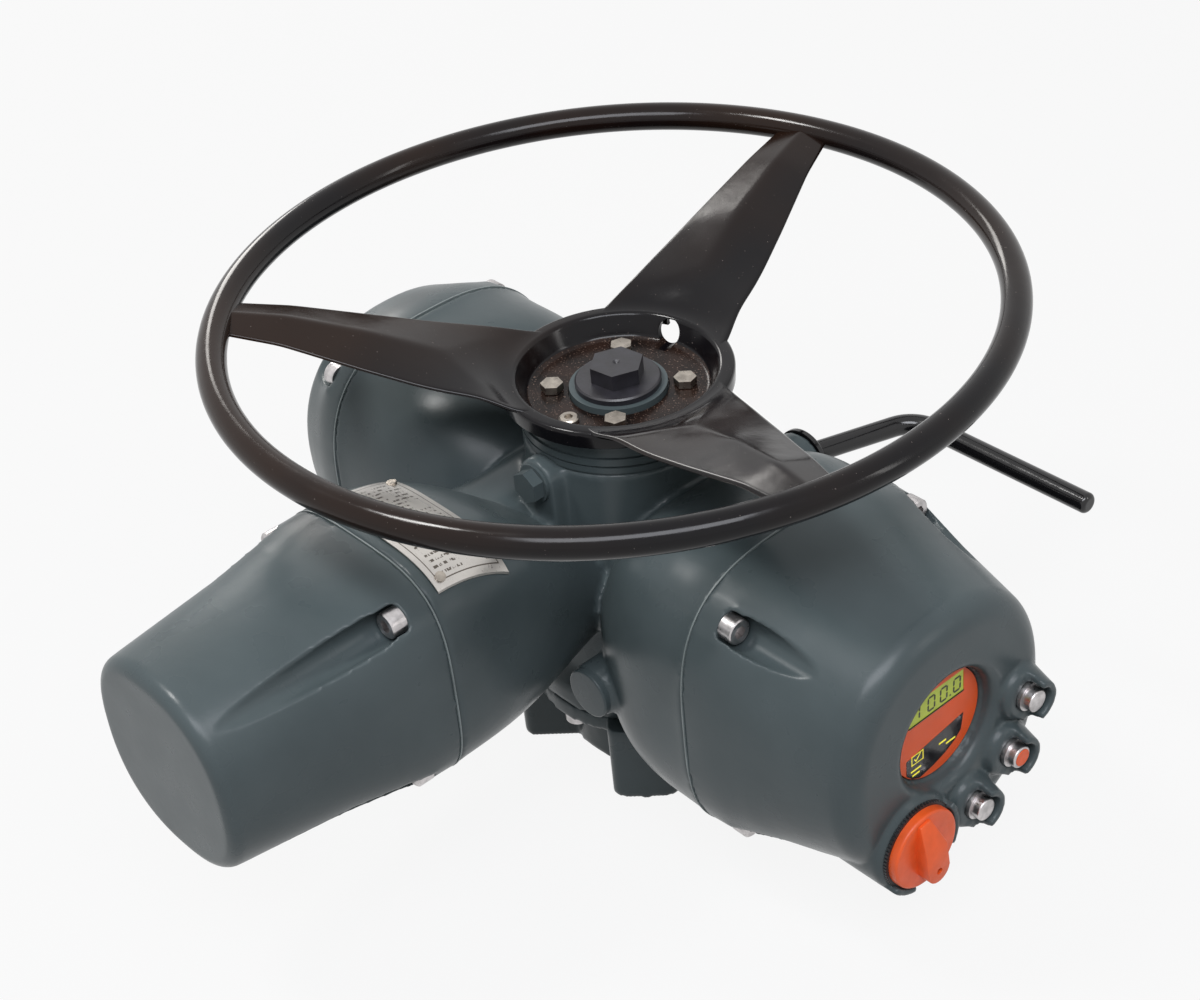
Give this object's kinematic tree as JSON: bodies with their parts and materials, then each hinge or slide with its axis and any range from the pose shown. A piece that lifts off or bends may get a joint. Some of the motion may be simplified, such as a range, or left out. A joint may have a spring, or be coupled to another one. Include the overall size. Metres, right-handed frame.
{
  "type": "multi-turn electric actuator",
  "caption": "Electric actuator that turns a valve stem by motor or handwheel, with local controls and display.",
  "frame": {"origin": "centre of the valve flange's underside, on the output axis", "axes": "+Z along the output and handwheel axis, upwards; +X towards the control cover; -Y towards the motor; -X towards the terminal cover; +Y the hand/auto lever"},
  "size_m": [0.4303, 0.484, 0.2695],
  "materials": {
    "grey_casting": "satin grey-green enamel on cast aluminium",
    "black_enamel": "gloss black stove enamel",
    "black_oxide": "satin black oxide on steel",
    "zinc_steel": "bright zinc plate",
    "ground_steel": "ground steel",
    "stainless_plate": "brushed stainless sheet",
    "cast_iron": "machined cast iron",
    "bronze": "tin bronze, machined",
    "copper_wire": "varnished copper windings",
    "black_rubber": "nitrile rubber",
    "window_glass": "toughened glass",
    "display_orange": "printed display surround",
    "display_green": "lit segment display",
    "board_green": "circuit board with modules",
    "black_plastic": "moulded black plastic",
    "orange_plastic": "moulded orange plastic",
    "red_plastic": "moulded orange-red plastic",
    "polished_steel": "polished stainless steel"
  },
  "bodies": {
    "housing": {"gear_housing": "grey_casting", "base_flange": "grey_casting", "base_screws": "zinc_steel", "column_cap": "grey_casting", "shaft_seal": "black_rubber", "lower_bearing": "ground_steel", "upper_bearing": "ground_steel", "oil_plug": "grey_casting", "oil_plug_washer": "grey_casting", "side_plug": "grey_casting", "nameplate": "stainless_plate", "nameplate_rivets": "zinc_steel", "worm_bearings": "bronze", "motor_stator": "ground_steel", "motor_windings": "copper_wire", "motor_bracket": "cast_iron", "motor_shield": "cast_iron", "motor_bearings": "ground_steel", "motor_cover": "grey_casting", "motor_cover_screws": "zinc_steel", "motor_cover_seal": "black_rubber", "terminal_cover": "grey_casting", "terminal_cover_screws": "zinc_steel", "terminal_cover_seal": "black_rubber", "control_cover": "grey_casting", "control_cover_screws": "zinc_steel", "control_cover_seal": "black_rubber", "window_glass": "window_glass", "display_panel": "display_orange", "display_lcd": "display_green", "control_board": "board_green", "power_unit": "black_plastic", "button_sleeves": "black_oxide", "terminal_carrier": "black_plastic", "entry_plugs": "black_plastic", "lever_bush": "bronze"},
    "output": {"drive_sleeve": "ground_steel", "drive_bush": "cast_iron", "worm_wheel": "bronze"},
    "worm": {"worm_shaft": "ground_steel", "worm_gear": "ground_steel"},
    "rotor": {"motor_shaft": "ground_steel", "motor_rotor": "cast_iron", "motor_pinion": "ground_steel"},
    "clutch": {"clutch_ring": "ground_steel"},
    "yoke": {"shift_yoke": "ground_steel"},
    "lever": {"lever_shaft": "ground_steel", "lever_collar": "black_enamel", "lever_rod": "black_enamel"},
    "handwheel": {"handwheel_rim": "black_enamel", "handwheel_spider": "black_enamel", "hub_bolts": "zinc_steel", "hand_drive_shaft": "grey_casting", "stem_plug": "black_oxide"},
    "button_open": {"push_button_open": "polished_steel"},
    "button_stop": {"push_button_stop": "polished_steel", "button_face": "red_plastic"},
    "button_close": {"push_button_close": "polished_steel"},
    "knob": {"selector_knob": "orange_plastic", "knob_spindle": "ground_steel"}
  },
  "joints": [
    {"name": "output_turn", "type": "hinge", "parent": "housing", "child": "output", "pos_m": [0, 0, 0.152], "axis": [0, 0, 1], "continuous": true},
    {"name": "worm_turn", "type": "hinge", "parent": "housing", "child": "worm", "pos_m": [-0.0325, 0, 0.152], "axis": [0, 1, 0], "continuous": true},
    {"name": "motor_turn", "type": "hinge", "parent": "housing", "child": "rotor", "pos_m": [0, -0.2, 0.152], "axis": [0, 1, 0], "continuous": true},
    {"name": "handwheel_turn", "type": "hinge", "parent": "housing", "child": "handwheel", "pos_m": [0, 0, 0.2095], "axis": [0, 0, 1], "continuous": true},
    {"name": "lever_swing", "type": "hinge", "parent": "housing", "child": "lever", "pos_m": [0.054, 0, 0.156], "axis": [0, 1, 0], "range_deg": [0, 25]},
    {"name": "clutch_slide", "type": "slide", "parent": "output", "child": "clutch", "axis": [0, 0, 1], "range_m": [0, 0.0064]},
    {"name": "yoke_slide", "type": "slide", "parent": "housing", "child": "yoke", "axis": [0, 0, 1], "range_m": [0, 0.0064]},
    {"name": "button_open_press", "type": "slide", "parent": "housing", "child": "button_open", "axis": [-1, 0, 0], "range_m": [0, 0.002], "stiffness_N_per_m": 400, "springref_m": -0.001},
    {"name": "button_stop_press", "type": "slide", "parent": "housing", "child": "button_stop", "axis": [-1, 0, 0], "range_m": [0, 0.002], "stiffness_N_per_m": 400, "springref_m": -0.001},
    {"name": "button_close_press", "type": "slide", "parent": "housing", "child": "button_close", "axis": [-1, 0, 0], "range_m": [0, 0.002], "stiffness_N_per_m": 400, "springref_m": -0.001},
    {"name": "selector_turn", "type": "hinge", "parent": "housing", "child": "knob", "pos_m": [0.2173, -0.02714, 0.06422], "axis": [1, 0, 0], "range_deg": [-45, 45]}
  ],
  "couplings": [
    {"joint": "worm_turn", "follows": "output_turn", "ratio": 32},
    {"joint": "motor_turn", "follows": "output_turn", "ratio": -36.8},
    {"joint": "clutch_slide", "follows": "lever_swing", "m_per_rad": 0.0145},
    {"joint": "yoke_slide", "follows": "lever_swing", "m_per_rad": 0.0145}
  ]
}
